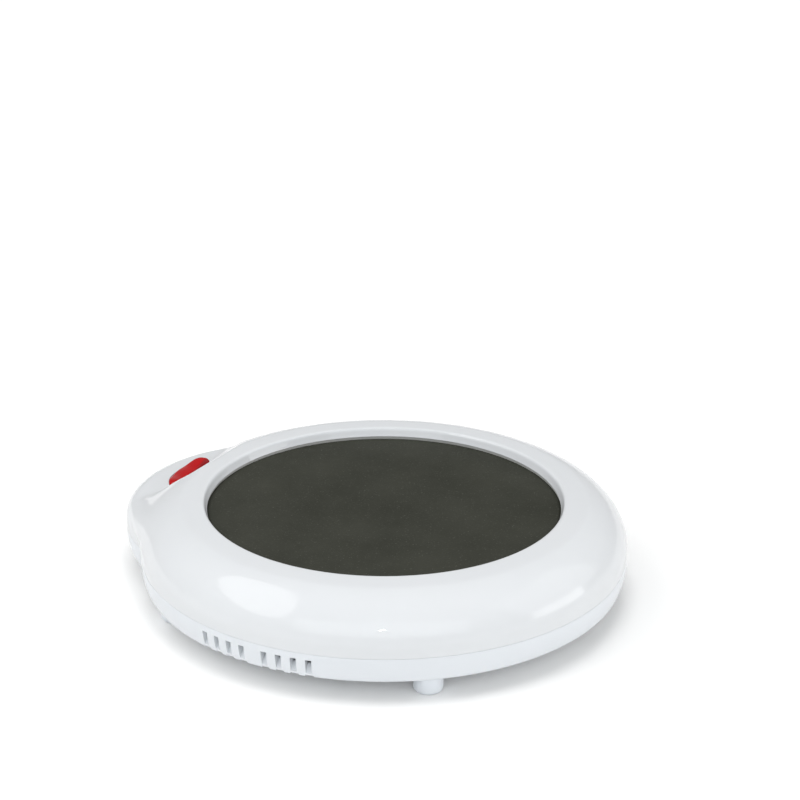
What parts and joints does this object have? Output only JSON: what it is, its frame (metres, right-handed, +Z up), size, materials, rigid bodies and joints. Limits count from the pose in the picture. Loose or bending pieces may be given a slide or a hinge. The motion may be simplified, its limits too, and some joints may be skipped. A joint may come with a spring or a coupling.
{
  "type": "electric mug warmer",
  "caption": "Round low desktop mug warmer with a recessed dark warming plate, a rear lobe with a red rocker switch, side vents and a two-part glossy white case on feet.",
  "frame": {"origin": "under the middle of the case's outline, at the plane of the feet's undersides; the warming plate's axis is 5 mm in front of it, at y = -5 mm", "axes": "+Z up, along the warming plate's axis; +Y towards the lobe that carries the rocker switch; +X to the side where the cord outlet is"},
  "size_m": [0.126, 0.136, 0.0261],
  "materials": {
    "case_white": "glossy moulded white",
    "foot_white": "smooth white moulded foot",
    "screw_steel": "zinc plated, bright",
    "plate_coating": "dark fine-textured non-stick coating on pressed metal",
    "gasket_silicone": "matte silicone",
    "mica": "flaky sheet",
    "element_ribbon": "dull resistance ribbon",
    "contact_brass": "stamped",
    "zinc_steel": "zinc plated sheet",
    "shield_aluminium": "bright rolled sheet",
    "fuse_case": "bright tinned can",
    "sleeve_glassfibre": "varnished woven sleeve",
    "rocker_red": "glossy red",
    "pin_steel": "ground",
    "plunger_nylon": "moulded",
    "spring_steel": "drawn wire",
    "housing_black": "moulded black",
    "lead_insulation": "extruded insulation",
    "splice_ivory": "moulded crimp caps",
    "gland_white": "moulded bushing"
  },
  "bodies": {
    "case": {"top_cover": "case_white", "base_shell": "case_white", "feet": "foot_white", "case_screws": "screw_steel", "warming_plate": "plate_coating", "plate_gasket": "gasket_silicone", "upper_mica": "mica", "heater_element": "element_ribbon", "lower_mica": "mica", "element_terminals": "contact_brass", "clamp_plate": "zinc_steel", "clamp_nuts": "screw_steel", "heater_bracket": "zinc_steel", "bracket_screws": "screw_steel", "heat_shield": "shield_aluminium", "thermal_fuse": "fuse_case", "fuse_sleeve": "sleeve_glassfibre", "fuse_clip": "zinc_steel", "clip_screw": "screw_steel", "rocker_pin": "pin_steel", "switch_housing": "housing_black", "housing_screws": "screw_steel", "common_terminal": "contact_brass", "load_terminal": "contact_brass", "switch_lead": "lead_insulation", "fuse_lead": "lead_insulation", "heater_lead": "lead_insulation", "splice_caps": "splice_ivory", "cord_gland": "gland_white", "cord_clamp": "case_white", "clamp_screws": "screw_steel"},
    "rocker": {"switch_rocker": "rocker_red", "switch_plunger": "plunger_nylon", "plunger_spring": "spring_steel"},
    "lever": {"contact_lever": "contact_brass"}
  },
  "joints": [
    {"name": "rocker_hinge", "type": "hinge", "parent": "case", "child": "rocker", "pos_m": [0, 0.0576, 0.0151], "axis": [0, 1, 0], "range_deg": [0, 13]},
    {"name": "lever_hinge", "type": "hinge", "parent": "case", "child": "lever", "pos_m": [0, 0.0572, 0.0103], "axis": [0, 1, 0], "range_deg": [-16, 0]}
  ],
  "couplings": [
    {"joint": "lever_hinge", "follows": "rocker_hinge", "ratio": -1.2308}
  ]
}
